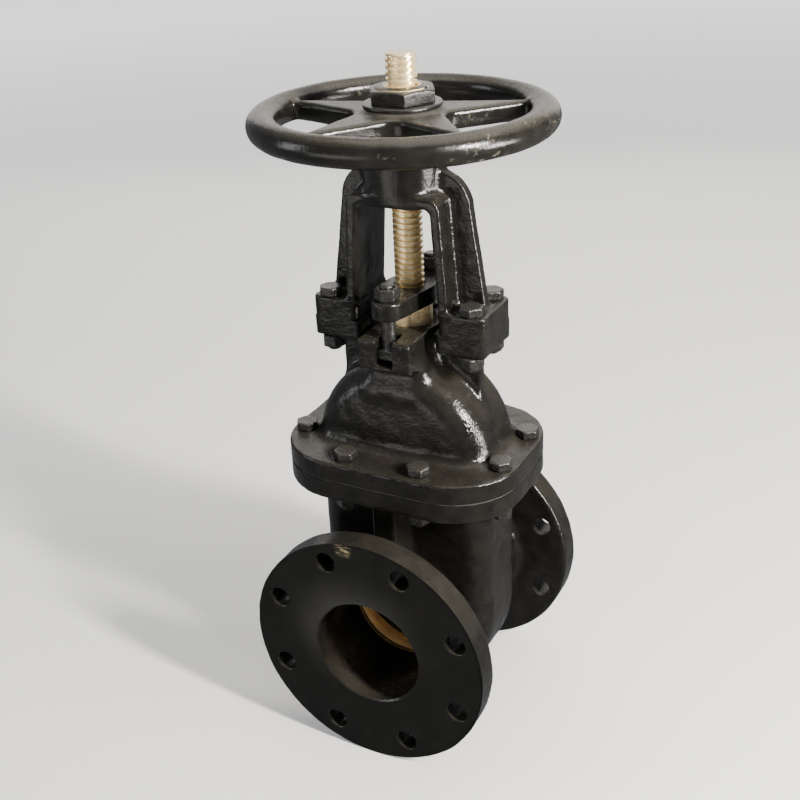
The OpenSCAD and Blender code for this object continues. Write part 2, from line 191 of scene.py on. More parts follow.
# Ears and yoke
EAR_BOTTOM = 266
FOOT_TOP = 303
EAR_OUTER = 81.5
EAR_INNER = 35
EAR_HALF = 30
EAR_WEB_HALF_X = 67
EAR_WEB_BOTTOM = 185
FOOT_INNER = 38
ARM_HALF = 29
BOSS_R = 34.5
BOSS_BOTTOM = 390
NUT_COLLAR_HOLE_R = 28.3
NUT_COLLAR_HOLE_T = 9.8
NUT_COLLAR_T = 9.5
SLEEVE_HOLE_R = 23.55
SLEEVE_R = 23.5

# Handwheel and its nut
RIM_R = 12
HUB_TOP = washer_bottom
WEB_BOTTOM = 447
WEB_TOP = 464
WEB_R = 107
SPOKES = 5
SPOKE_START = math.radians(106.5)
NUT_TOP_R = 21.5
NUT_BRIGHT_R = STEM_R + 2.7
WASHER_EDGE = 1.5

bonnet_joint_top = gasket_top + BONNET_JOINT_T
wheel_z = wheel_high.z - RIM_R
rim_centre_r = wheel_r - RIM_R

# Places of the fasteners, one quarter of each pattern
joint_bolt_places = [(96.2, 31.2), (35.4, 68.2)]
yoke_bolt_places = [(66.9, 20.9)]


def mirrored(places):
    """The places in all four quarters."""
    return [(sx * x, sy * y) for x, y in places for sx in (-1, 1) for sy in (-1, 1)]


# ---------------------------------------------------------------- distance fields

class Grid:
    """Sample points of a distance field: X, Y and Z broadcast against each other."""

    def __init__(self, low, high, step):
        self.low = low
        self.step = step
        counts = [int(math.ceil((h - l) / step)) + 1 for l, h in zip(low, high)]
        x, y, z = (
            (l + step * np.arange(n)).astype(np.float32) for l, n in zip(low, counts)
        )
        self.X, self.Y, self.Z = x[:, None, None], y[None, :, None], z[None, None, :]


def length(a, b):
    return np.sqrt(a * a + b * b)


def corner(a, b, r=0.0):
    """Distance to a shape bounded by the distances a and b, its edge rounded by r."""
    return length(np.maximum(a + r, 0), np.maximum(b + r, 0)) + np.minimum(np.maximum(a, b) + r, 0) - r


def slab(v, low, high):
    """Distance to the layer between two planes."""
    return np.maximum(low - v, v - high)


def join(a, b, k):
    """Union with a fillet of about k."""
    h = np.maximum(k - np.abs(a - b), 0) / k
    return np.minimum(a, b) - h * h * k * 0.25


def cut(a, b, k=1.0):
    """a without b, the edge between them rounded by about k."""
    return -join(-a, b, k)


def keep(a, b, k=1.0):
    """What is in both a and b, the edge between them rounded by about k."""
    return -join(-a, -b, k)


def block(g, x, y, z, r):
    """Box between pairs of planes, with rounded edges."""
    return corner(corner(slab(g.X, *x), slab(g.Y, *y), r), slab(g.Z, *z), r)


def upright(g, r, z, edge, x=0.0, y=0.0):
    """Cylinder along Z."""
    return corner(length(g.X - x, g.Y - y) - r, slab(g.Z, *z), edge)


def along_pipe(g, r, y, edge):
    """Cylinder along Y."""
    return corner(length(g.X, g.Z) - r, slab(g.Y, *y), edge)


def round_plate(g, half_x, half_y, r, z, edge):
    """Plate with round corners."""
    dx = np.abs(g.X) - half_x + r
    dy = np.abs(g.Y) - half_y + r
    outline = length(np.maximum(dx, 0), np.maximum(dy, 0)) + np.minimum(np.maximum(dx, dy), 0) - r
    return corner(outline, slab(g.Z, *z), edge)


def rounded_outline(u, v, reach, half, r):
    """Distance to a rectangle with round corners: reach along u, and half to each side along v."""
    du = slab(u, *reach) + r
    dv = np.abs(v) - half + r
    return length(np.maximum(du, 0), np.maximum(dv, 0)) + np.minimum(np.maximum(du, dv), 0) - r


def polygon(u, v, points):
    """Signed distance to a closed outline in the plane of u and v."""
    shape = np.broadcast(u, v).shape
    best = np.full(shape, 1e9, np.float32)
    sign = np.ones(shape, np.float32)
    for (ax, ay), (bx, by) in zip(points, points[-1:] + points[:-1]):
        ex, ey = bx - ax, by - ay
        if ex == ey == 0:
            continue
        wx, wy = u - ax, v - ay
        t = np.clip((wx * ex + wy * ey) / (ex * ex + ey * ey), 0, 1)
        best = np.minimum(best, (wx - t * ex) ** 2 + (wy - t * ey) ** 2)
        above = (v >= ay) & (v < by) & (ex * wy > ey * wx)
        below = (v < ay) & (v >= by) & (ex * wy < ey * wx)
        sign = np.where(above | below, -sign, sign)
    return sign * np.sqrt(best)


def arc(cx, cy, r, start, end, steps=8):
    """Points along an arc, its angles in degrees."""
    angles = [math.radians(start + (end - start) * i / steps) for i in range(steps + 1)]
    return [(cx + r * math.cos(a), cy + r * math.sin(a)) for a in angles]


def ripple(g, size, seed):
    """Smooth unevenness between 0 and 1, its lumps about size across."""
    random = np.random.default_rng(seed)
    total = 0
    for _ in range(6):
        direction = random.normal(size=3)
        direction *= 2 * math.pi / (size * 2 * np.linalg.norm(direction)) * random.uniform(0.7, 1.4)
        a, b, c = (float(d) for d in direction)
        phase = random.uniform(0, 2 * math.pi, 3)
        total = total + (
            np.sin(a * g.X + b * g.Y + float(phase[0]))
            * np.sin(b * g.Z - c * g.X + float(phase[1]))
            * np.sin(c * g.Y + a * g.Z + float(phase[2]))
        )
    return 0.5 + 0.5 * np.tanh(total.astype(np.float32) / 2)


def rough(g, field, *layers):
    """Lowers a surface unevenly, by layers of ripple given as (depth, size, seed)."""
    for depth, size, seed in layers:
        field = field + depth * ripple(g, size, seed)
    return field


def folded(g, axes):
    """The same samples seen from one side of the valve's middle planes."""
    view = copy.copy(g)
    if "x" in axes:
        view.X = np.abs(g.X)
    if "y" in axes:
        view.Y = np.abs(g.Y)
    return view


# ---------------------------------------------------------------- meshes

def new_object(name, data):
    obj = bpy.data.objects.new(name, data)
    bpy.context.scene.collection.objects.link(obj)
    return obj


def in_frame(points):
    """Points in millimetres from the centre, as metres in the frame."""
    return np.asarray(points, float) * MM + np.array(CENTRE)


def mesh_from(name, points, faces):
    mesh = bpy.data.meshes.new(name)
    mesh.from_pydata(in_frame(points).tolist(), [], faces)
    mesh.validate()
    return mesh


def mesh_of_field(name, grid, field):
    """The surface where the field is zero."""
    reach = 3 * grid.step
    volume = openvdb.FloatGrid()
    volume.background = reach
    volume.copyFromArray(np.ascontiguousarray(np.clip(field, -reach, reach), dtype=np.float32))
    points, _, quads = volume.convertToPolygons(isovalue=0.0, adaptivity=0.0)
    points = points * grid.step + np.array(grid.low)
    mesh = mesh_from(name, points, quads[:, ::-1].tolist())
    turn_outwards(mesh)
    return mesh


def turn_outwards(mesh):
    bm = bmesh.new()
    bm.from_mesh(mesh)
    if bm.calc_volume(signed=True) < 0:
        bmesh.ops.reverse_faces(bm, faces=bm.faces)
    bm.to_mesh(mesh)
    bm.free()


def lathe(name, profile, sides=96, axis="Z"):
    """A turned solid: profile is a closed outline of (radius, height)."""
    points, faces = [], []
    count = len(profile)
    for i in range(sides):
        a = 2 * math.pi * i / sides
        for r, h in profile:
            x, y = r * math.cos(a), r * math.sin(a)
            points.append((x, y, h) if axis == "Z" else (x, h, -y))
    for i in range(sides):
        j = (i + 1) % sides
        for k in range(count):
            m = (k + 1) % count
            face = [i * count + k, j * count + k, j * count + m, i * count + m]
            faces.append(face)
    mesh = mesh_from(name, points, faces)
    bm = bmesh.new()
    bm.from_mesh(mesh)
    bmesh.ops.remove_doubles(bm, verts=bm.verts, dist=1e-6)
    bmesh.ops.dissolve_degenerate(bm, edges=bm.edges, dist=1e-7)
    bmesh.ops.recalc_face_normals(bm, faces=bm.faces)
    bm.to_mesh(mesh)
    bm.free()
    return mesh


def pin(r, low, high, axis="Z", mouths=(), at=(0, 0), sides=64):
    """A cutter: a cylinder that widens to a chamfer at each height named in mouths.

    Each mouth is (height, way, size): way is 1 where the hole opens upwards along the axis."""
    profile = [(0, low)]
    marks = []
    for height, way, size in mouths:
        if way > 0:
            marks += [(r, height - size), (r + size, height), (r + size, high)]
        else:
            marks += [(r + size, low), (r + size, height), (r, height + size)]
    if not any(way < 0 for _, way, _ in mouths):
        marks.append((r, low))
    if not any(way > 0 for _, way, _ in mouths):
        marks.append((r, high))
    profile += sorted(marks, key=lambda m: m[1]) + [(0, high)]
    mesh = lathe("cutter", profile, sides, axis)
    shift = Vector((at[0], at[1], 0)) if axis == "Z" else Vector((at[0], 0, at[1]))
    mesh.transform(Matrix.Translation(shift * MM))
    return mesh


def box_cutter(x, y, z):
    points = [(a, b, c) for a in x for b in y for c in z]
    faces = [(0, 1, 3, 2), (4, 6, 7, 5), (0, 4, 5, 1), (2, 3, 7, 6), (0, 2, 6, 4), (1, 5, 7, 3)]
    mesh = mesh_from("cutter", points, faces)
    turn_outwards(mesh)
    return mesh


def machined(mesh, cutters, material=None):
    """The mesh with each cutter taken away. The cut faces take the cutter's material."""
    obj = new_object("work", mesh)
    helpers = []
    for index, cutter in enumerate(cutters):
        if material:
            cutter.materials.append(material)
        helper = new_object("cutter", cutter)
        helpers.append(helper)
        change = obj.modifiers.new(f"cut{index}", "BOOLEAN")
        change.solver = "MANIFOLD"
        change.operation = "DIFFERENCE"
        change.object = helper
        change.material_mode = "TRANSFER"
    graph = bpy.context.evaluated_depsgraph_get()
    result = bpy.data.meshes.new_from_object(obj.evaluated_get(graph))
    for helper in helpers + [obj]:
        old = helper.data
        bpy.data.objects.remove(helper)
        bpy.data.meshes.remove(old)
    return result


def copies(name, mesh, places):
    """One mesh holding a copy of a mesh at each place, each turned by its own angle."""
    bm = bmesh.new()
    for x, y, angle in places:
        piece = mesh.copy()
        there = Matrix.Translation(CENTRE + Vector((x, y, 0)) * MM)
        back = Matrix.Translation(-CENTRE)
        piece.transform(there @ Matrix.Rotation(angle, 4, "Z") @ back)
        bm.from_mesh(piece)
        bpy.data.meshes.remove(piece)
    result = bpy.data.meshes.new(name)
    bm.to_mesh(result)
    bm.free()
    return result


def show(name, mesh, node, material, body, crease=38):
    """Puts a piece in place of its CAD node. Edges sharper than crease degrees stay sharp."""
    if not any(mesh.materials):
        mesh.materials.clear()
        mesh.materials.append(material)
    mesh.shade_smooth()
    mesh.set_sharp_from_angle(angle=math.radians(crease))
    obj = new_object(name, mesh)
    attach(obj, body)
    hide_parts(node)
    return obj


# ---------------------------------------------------------------- materials

class Look:
    """A principled material and short names for building its nodes."""

    def __init__(self, name, **settings):
        self.material = bpy.data.materials.new(name)
        self.material.use_nodes = True
        self.nodes = self.material.node_tree.nodes
        self.links = self.material.node_tree.links
        self.shader = self.nodes["Principled BSDF"]
        for label, value in settings.items():
            self.shader.inputs[label.replace("_", " ")].default_value = value
        self.place = self.add("ShaderNodeTexCoord").outputs["Object"]

    def add(self, kind, **settings):
        node = self.nodes.new(kind)
        for label, value in settings.items():
            setattr(node, label, value)
        return node

    def noise(self, size, detail=3.0, roughness=0.55, stretch=None):
        """Noise whose lumps are about size millimetres across."""
        node = self.add("ShaderNodeTexNoise")
        node.inputs["Scale"].default_value = 1 / (size * MM)
        node.inputs["Detail"].default_value = detail
        node.inputs["Roughness"].default_value = roughness
        place = self.place
        if stretch:
            mapping = self.add("ShaderNodeMapping")
            mapping.inputs["Scale"].default_value = stretch
            self.links.new(place, mapping.inputs["Vector"])
            place = mapping.outputs["Vector"]
        self.links.new(place, node.inputs["Vector"])
        return node.outputs["Fac"]

    def spots(self, size, smooth=0.4):
        """Distance to scattered points about size millimetres apart."""
        node = self.add("ShaderNodeTexVoronoi", feature="SMOOTH_F1")
        node.inputs["Scale"].default_value = 1 / (size * MM)
        node.inputs["Smoothness"].default_value = smooth
        self.links.new(self.place, node.inputs["Vector"])
        return node.outputs["Distance"]

    def spread(self, value, low, high, to_low=0.0, to_high=1.0):
        """Maps low..high of a value to to_low..to_high, and holds it there."""
        node = self.add("ShaderNodeMapRange")
        for label, number in zip(
            ("From Min", "From Max", "To Min", "To Max"), (low, high, to_low, to_high)
        ):
            node.inputs[label].default_value = number
        self.links.new(value, node.inputs["Value"])
        return node.outputs["Result"]

    def maths(self, operation, a, b):
        node = self.add("ShaderNodeMath", operation=operation)
        for socket, value in zip(node.inputs, (a, b)):
            if isinstance(value, (int, float)):
                socket.default_value = value
            else:
                self.links.new(value, socket)
        return node.outputs["Value"]

    def near(self, at, reach, fade):
        """1 near a point, given in millimetres from the centre, falling to 0 over fade."""
        node = self.add("ShaderNodeVectorMath", operation="DISTANCE")
        self.links.new(self.place, node.inputs[0])
        node.inputs[1].default_value = CENTRE + Vector(at) * MM
        return self.spread(node.outputs["Value"], reach * MM, (reach + fade) * MM, 1.0, 0.0)

    def facing_up(self):
        """How far the surface faces up, from -1 to 1."""
        geometry = self.add("ShaderNodeNewGeometry")
        split = self.add("ShaderNodeSeparateXYZ")
        self.links.new(geometry.outputs["Normal"], split.inputs["Vector"])
        return split.outputs["Z"]

    def mix(self, share, a, b):
        """Colour a where share is 0 and colour b where it is 1."""
        node = self.add("ShaderNodeMix", data_type="RGBA")
        self.links.new(share, node.inputs["Factor"])
        for label, value in (("A", a), ("B", b)):
            socket = [s for s in node.inputs if s.name == label and s.type == "RGBA"][0]
            if isinstance(value, tuple):
                socket.default_value = (*value, 1)
            else:
                self.links.new(value, socket)
        return [s for s in node.outputs if s.type == "RGBA"][0]

    def set_bumps(self, *layers):
        """Bump in layers of (height, depth), where the full height is depth millimetres."""
        normal = None
        for height, depth in layers:
            node = self.add("ShaderNodeBump")
            node.inputs["Distance"].default_value = depth * MM
            self.links.new(height, node.inputs["Height"])
            if normal:
                self.links.new(normal, node.inputs["Normal"])
            normal = node.outputs["Normal"]
        self.set("Normal", normal)

    def set(self, label, value):
        self.links.new(value, self.shader.inputs[label])


def casting_look():
    """Glossy black bitumen paint over a rough sand casting, lighter brown grey where it faces up: dust,
    and a painted sheen of the light from above.
    """
    look = Look("black_paint_casting", IOR=1.45, Specular_IOR_Level=0.45)
    coarse = look.noise(12, 3)
    fine = look.noise(2.0, 3, 0.6)
    pimples = look.spots(3.4, 0.15)
    # Faces turned up get lighter: partly dust, partly a painted sheen of the overhead light
    dust_and_sheen = look.maths(
        "MULTIPLY",
        look.spread(look.facing_up(), 0.35, 0.95),
        look.spread(look.noise(30, 5, 0.6), 0.3, 0.7, 0.45, 1.0),
    )
    paint = look.mix(look.spread(coarse, 0.35, 0.65), (0.005, 0.0048, 0.004), (0.009, 0.0086, 0.0072))
    # The brown grey of faces turned up is dust and painted sheen of the light from above
    look.set("Base Color", look.mix(look.spread(dust_and_sheen, 0, 1, 0, 0.3), paint, (0.075, 0.068, 0.052)))
    gloss = look.spread(fine, 0.3, 0.7, 0.08, 0.19)
    look.set("Roughness", look.maths("ADD", gloss, look.spread(dust_and_sheen, 0, 1, 0, 0.16)))
    look.set_bumps(
        (look.spread(coarse, 0.2, 0.8), 0.28),
        (look.spread(pimples, 0.0, 0.32, 1, 0), 0.1),
        (look.spread(fine, 0.25, 0.75), 0.15),
    )
    return look.material


def machined_look():
    """Thin satin black paint on a turned face, with faint scuffs and one tan scrape."""
    look = Look("black_paint_machined", IOR=1.42, Specular_IOR_Level=0.28)
    cloudy = look.noise(22, 5, 0.6)
    fine = look.noise(1.2, 3)
    scuffs = look.maths(
        "MULTIPLY",
        look.spread(look.noise(26, 3), 0.58, 0.68),
        look.spread(look.noise(2.6, 4, 0.7, (1, 1, 6)), 0.6, 0.7),
    )
    scrape = look.maths(
        "MULTIPLY",
        look.near((-17, -half_face, flange_r - 8), 2, 8),
        look.spread(look.noise(3, 4, 0.7, (0.3, 1, 2.5)), 0.5, 0.62),
    )
    paint = look.mix(look.spread(cloudy, 0.3, 0.7), (0.004, 0.004, 0.0035), (0.0075, 0.0073, 0.0065))
    worn = look.mix(look.spread(scuffs, 0, 1, 0, 0.6), paint, (0.13, 0.125, 0.11))
    look.set("Base Color", look.mix(scrape, worn, (0.34, 0.29, 0.16)))
    look.set("Roughness", look.spread(fine, 0.3, 0.7, 0.34, 0.48))
    look.set_bumps((look.spread(cloudy, 0.2, 0.8), 0.12), (look.spread(fine, 0.3, 0.7), 0.04))
    return look.material


def wheel_look():
    """Smoother glossy paint on the handwheel, rubbed to a tan grey in patches."""
    look = Look("black_paint_wheel", IOR=1.45, Specular_IOR_Level=0.48)
    coarse = look.noise(14, 4)
    fine = look.noise(1.4, 4, 0.6)
    rubbed = look.maths(
        "MULTIPLY",
        look.spread(look.noise(34, 3), 0.53, 0.64),
        look.spread(look.noise(6, 6, 0.75), 0.54, 0.66),
    )
    # Faces turned up get a lighter tan grey: partly dust, partly a painted sheen of the overhead light
    dust_and_sheen = look.spread(look.facing_up(), 0.5, 1.0)
    paint = look.mix(look.spread(coarse, 0.35, 0.65), (0.006, 0.0057, 0.0046), (0.011, 0.0104, 0.0084))
    dust_and_sheen_paint = look.mix(look.spread(dust_and_sheen, 0, 1, 0, 0.34), paint, (0.12, 0.108, 0.082))
    look.set("Base Color", look.mix(look.spread(rubbed, 0, 1, 0, 0.75), dust_and_sheen_paint, (0.2, 0.18, 0.135)))
    gloss = look.spread(fine, 0.3, 0.7, 0.13, 0.26)
    look.set("Roughness", look.maths("ADD", gloss, look.spread(dust_and_sheen, 0, 1, 0, 0.1)))
    look.set_bumps((look.spread(coarse, 0.2, 0.8), 0.25), (look.spread(fine, 0.25, 0.75), 0.07))
    return look.material


def fastener_look():
    """Black paint brushed thickly over bolts and nuts."""
    look = Look("black_paint_fastener", IOR=1.45, Specular_IOR_Level=0.7)
    coarse = look.noise(4, 4)
    fine = look.noise(0.9, 4, 0.65)
    # Faces turned up get a lighter grey: partly dust, partly a painted sheen of the overhead light
    dust_and_sheen = look.spread(look.facing_up(), 0.5, 1.0)
    paint = look.mix(look.spread(coarse, 0.35, 0.65), (0.008, 0.0078, 0.007), (0.016, 0.0155, 0.014))
    look.set("Base Color", look.mix(look.spread(dust_and_sheen, 0, 1, 0, 0.25), paint, (0.12, 0.11, 0.09)))
    look.set("Roughness", look.spread(fine, 0.3, 0.7, 0.16, 0.32))
    look.set_bumps((look.spread(coarse, 0.2, 0.8), 0.25), (look.spread(fine, 0.25, 0.75), 0.1))
    return look.material


def metal_look(name, dark, light, low_rough, high_rough, marks, depth, shine):
    """Turned brass or bronze: cloudy colour, and fine rings around the axis of turning."""
    look = Look(name, Metallic=shine)
    rings = look.noise(1.1, 3, 0.6, marks)
    cloudy = look.noise(9, 4, 0.6)
    look.set("Base Color", look.mix(look.spread(cloudy, 0.3, 0.7), dark, light))
    look.set("Roughness", look.spread(cloudy, 0.3, 0.7, low_rough, high_rough))
    look.set_bumps((look.spread(rings, 0.3, 0.7), depth))
    return look.material


def plain_look(name, dark, light, rough, size, depth, **settings):
    """Fibre, packing or raw steel: two tones and a fine grain."""
    look = Look(name, **settings)
    grain = look.noise(size, 4, 0.65)
    look.set("Base Color", look.mix(look.spread(grain, 0.35, 0.65), dark, light))
    look.set("Roughness", look.spread(grain, 0.3, 0.7, rough - 0.08, rough + 0.08))
    look.set_bumps((look.spread(grain, 0.25, 0.75), depth))
    return look.material


along_stem = (0.12, 0.12, 1)
along_bore = (0.12, 1, 0.12)
casting = casting_look()
machined_paint = machined_look()
wheel_paint = wheel_look()
fastener_paint = fastener_look()
stem_brass = metal_look(
    "stem_brass", (0.92, 0.72, 0.38), (0.98, 0.82, 0.5), 0.16, 0.28, along_stem, 0.03, 0.7
)
nut_brass = metal_look(
    "nut_brass", (0.88, 0.65, 0.32), (0.96, 0.78, 0.46), 0.22, 0.36, along_stem, 0.03, 0.4
)
bronze = metal_look("bronze", (0.86, 0.56, 0.24), (0.97, 0.72, 0.36), 0.3, 0.45, along_bore, 0.03, 0.35)
gasket_fibre = plain_look("gasket_fibre", (0.02, 0.02, 0.018), (0.05, 0.048, 0.044), 0.8, 1.2, 0.1)
graphite = plain_look("graphite_packing", (0.04, 0.04, 0.04), (0.1, 0.1, 0.1), 0.5, 2.0, 0.3)
key_steel = plain_look(
    "key_steel", (0.4, 0.4, 0.41), (0.55, 0.55, 0.56), 0.35, 1.0, 0.03, Metallic=1.0
)

# Parts that keep their CAD shape
carried_over = {
    "bonnet_gasket": gasket_fibre,
    "wheel_key": key_steel,
}
for node_name in nodes:
    if node_name.startswith("packing_ring"):
        carried_over[node_name] = graphite
for node_name, finish in carried_over.items():
    node_mesh = nodes[node_name].data
    node_mesh.materials.clear()
    node_mesh.materials.append(finish)


# ---------------------------------------------------------------- castings

def chamber(g, centre_z, way, wall=0):
    """Gate chamber or dome, or the hollow inside its wall.

    It has straight walls, and a half-round end below (way -1) or above (way 1) centre_z."""
    past = np.maximum(way * (g.Z - centre_z), 0)
    sides = np.abs(g.Y) - (CHAMBER_HALF - wall)
    return corner(length(g.X, past) - (CHAMBER_R - wall), sides, CHAMBER_EDGE - wall)


def joined(meshes):
    """Meshes that don't overlap, as one."""
    bm = bmesh.new()
    for mesh in meshes:
        bm.from_mesh(mesh)
        bpy.data.meshes.remove(mesh)
    result = bpy.data.meshes.new("cutters")
    bm.to_mesh(result)
    bm.free()
    return result


def face_cutter(way):
    """Everything beyond a pipe flange's face, and the sharp edge of its rim."""
    rim = flange_r - FLANGE_RIM_CHAMFER
    far = 30
    profile = [
        (0, half_face),
        (rim, half_face),
        (rim + far, half_face + far),
        (0, half_face + far),
    ]
    return lathe("cutter", [(r, way * h) for r, h in profile], 128, "Y")


def gusset(g):
    """Post under the joint flange, standing on the pipe's neck, at each end."""
    reach = (CHAMBER_HALF - 8, CHAMBER_HALF + POST_REACH)
    return corner(
        corner(slab(np.abs(g.Y), *reach), np.abs(g.X) - POST_HALF, 3.5),
        slab(g.Z, NECK_R - 10, joint_top - BODY_JOINT_T + 6), 0.5,
    )


def make_body():
    g = Grid((-117, -119, -117), (117, 119, joint_top + 5), 1.6)
    end = folded(g, "y")
    outside = np.maximum(chamber(g, 0, -1), g.Z - joint_top)
    outside = join(outside, along_pipe(g, NECK_R, (-half_face + 10, half_face - 10), 1), 10)
    outside = join(outside, along_pipe(end, flange_r, (half_face - FLANGE_T, half_face + 9), 3), 9.5)
    plate = (joint_top - BODY_JOINT_T, joint_top + 9)
    outside = join(outside, round_plate(g, joint_half_x, joint_half_y, JOINT_CORNER, plate, 2), 6)
    outside = join(outside, gusset(g), 7)
    outside = rough(g, outside, (0.5, 16, 3), (0.2, 5, 4))
    field = cut(outside, chamber(g, 0, -1, WALL), 2)
    side = folded(g, "x")
    rail = block(side, (RAIL_INNER, 80), (-RIB_HALF, RIB_HALF), (RAIL_BOTTOM, joint_top + 9), 1.5)
    boss = along_pipe(end, SEAT_R + 5, (SEAT_POCKET_START, CHAMBER_HALF - 5), 0.5)
    boss = np.maximum(boss, SEAT_HALF + 2 + g.Z * SEAT_SLOPE - end.Y)
    field = join(join(field, rail, 3), boss, 3)
    mesh = mesh_of_field("body_casting", g, field)
    mesh.materials.append(casting)

    plane = box_cutter((-130, 130), (-100, 100), (joint_top, joint_top + 20))
    faces = joined([face_cutter(-1), face_cutter(1), plane])
    mouths = ((-half_face, -1, BORE_CHAMFER), (half_face, 1, BORE_CHAMFER))
    holes = [pin(BORE_R, -half_face - 12, half_face + 12, "Y", mouths, sides=128)]
    for i in range(FLANGE_HOLES):
        a = 2 * math.pi * (i + 0.5) / FLANGE_HOLES
        at = (BOLT_CIRCLE_R * math.cos(a), BOLT_CIRCLE_R * math.sin(a))
        back = half_face - FLANGE_T - 8
        front = half_face + 8
        for low, high, way in ((-front, -back, -1), (back, front, 1)):
            mouth = (way * half_face, way, FLANGE_HOLE_CHAMFER)
            holes.append(pin(FLANGE_HOLE_R, low, high, "Y", (mouth,), at))
    for at in mirrored(joint_bolt_places):
        low = joint_top - BODY_JOINT_T - 4
        holes.append(pin(BOLT_HOLE_R, low, joint_top + 5, at=at, sides=32))
    pockets = [
        pin(SEAT_R, SEAT_POCKET_START * way, SEAT_ROOT * way, "Y", sides=128) for way in (-1, 1)
    ]
    mesh = machined(mesh, [faces], machined_paint)
    mesh = machined(mesh, [joined(holes), joined(pockets)])
    show("body_casting", mesh, "body", casting, "valve")


def make_bonnet():
    g = Grid((-114, -87, gasket_top - 5), (114, 87, foot_bottom + 3), 1.3)
    side = folded(g, "x")
    front = folded(g, "y")
    middle = np.clip(1 - length(g.X, g.Z - DOME_CENTRE) / (CHAMBER_R - 10), 0, 1)
    dome = chamber(g, DOME_CENTRE, 1) - DOME_BULGE * middle * (2 - middle)
    plate = (gasket_top - 9, bonnet_joint_top)
    field = join(
        round_plate(g, joint_half_x, joint_half_y, JOINT_CORNER, plate, 1.8),
        np.maximum(dome, gasket_top - 9 - g.Z),
        13,
    )
    across = (-BOX_HALF_X, BOX_HALF_X)
    pedestal = block(
        g, across, (-PEDESTAL_HALF_Y, PEDESTAL_HALF_Y), (BOX_BOTTOM, LUG_BOTTOM + 8), 8
    )
    lugs = block(g, across, (-BOX_HALF_Y, BOX_HALF_Y), (LUG_BOTTOM, BOX_TOP), 1.6)
    neck = upright(g, BOX_R, (BOX_BOTTOM, BOX_TOP), 1.6)
    ear = corner(
        rounded_outline(side.X, g.Y, (EAR_INNER, EAR_OUTER), EAR_HALF, 5),
        slab(g.Z, EAR_BOTTOM, foot_bottom + 9), 1.6,
    )
    web = block(
        g, (-EAR_WEB_HALF_X, EAR_WEB_HALF_X), (-RIB_HALF, RIB_HALF),
        (EAR_WEB_BOTTOM, EAR_BOTTOM + 3), 2,
    )
    field = join(field, join(pedestal, join(lugs, neck, 4), 12), 16)
    field = join(field, join(ear, web, 6), 8)
    field = rough(g, field, (0.5, 14, 7), (0.2, 5, 8))
    field = cut(field, chamber(g, DOME_CENTRE, 1, WALL), 2)
    field = join(field, upright(g, BOX_R, (BOX_BOTTOM, 260), 1), 3)
    slot = block(
        front, (-SLOT_HALF, SLOT_HALF), (GLAND_BOLT_Y - 10, 90), (SLOT_FLOOR, BOX_TOP + 9), 1.5
    )
    pocket = block(
        front, (-POCKET_HALF_X, POCKET_HALF_X),
        (GLAND_BOLT_Y - POCKET_HALF_Y, GLAND_BOLT_Y + POCKET_HALF_Y), (SLOT_FLOOR, TEE_SEAT), 0.8,
    )
    field = cut(field, np.minimum(slot, pocket), 1.5)
    mesh = mesh_of_field("bonnet_casting", g, field)
    mesh.materials.append(casting)

    planes = joined([
        box_cutter((-130, 130), (-100, 100), (gasket_top - 20, gasket_top)),
        box_cutter((-130, 130), (-100, 100), (foot_bottom, foot_bottom + 20)),
    ])
    bore = lathe(
        "cutter",
        [(0, BACKSEAT_HOLE_BOTTOM), (BACKSEAT_HOLE_R, BACKSEAT_HOLE_BOTTOM)]
        + [(BACKSEAT_HOLE_R, PACKING_BOTTOM), (PACKING_R, PACKING_BOTTOM)]
        + [(PACKING_R, BOX_TOP - 1), (PACKING_R + 1, BOX_TOP)]
        + [(PACKING_R + 1, BOX_TOP + 6), (0, BOX_TOP + 6)],
    )
    holes = [bore]
    for at in mirrored(joint_bolt_places):
        holes.append(pin(BOLT_HOLE_R, gasket_top - 2, bonnet_joint_top + 4, at=at, sides=32))
    for at in mirrored(yoke_bolt_places):
        holes.append(pin(BOLT_HOLE_R, EAR_BOTTOM - 4, foot_bottom + 4, at=at, sides=32))
    mesh = machined(mesh, [planes], machined_paint)
    mesh = machined(mesh, [joined(holes)])
    show("bonnet_casting", mesh, "bonnet", casting, "valve")


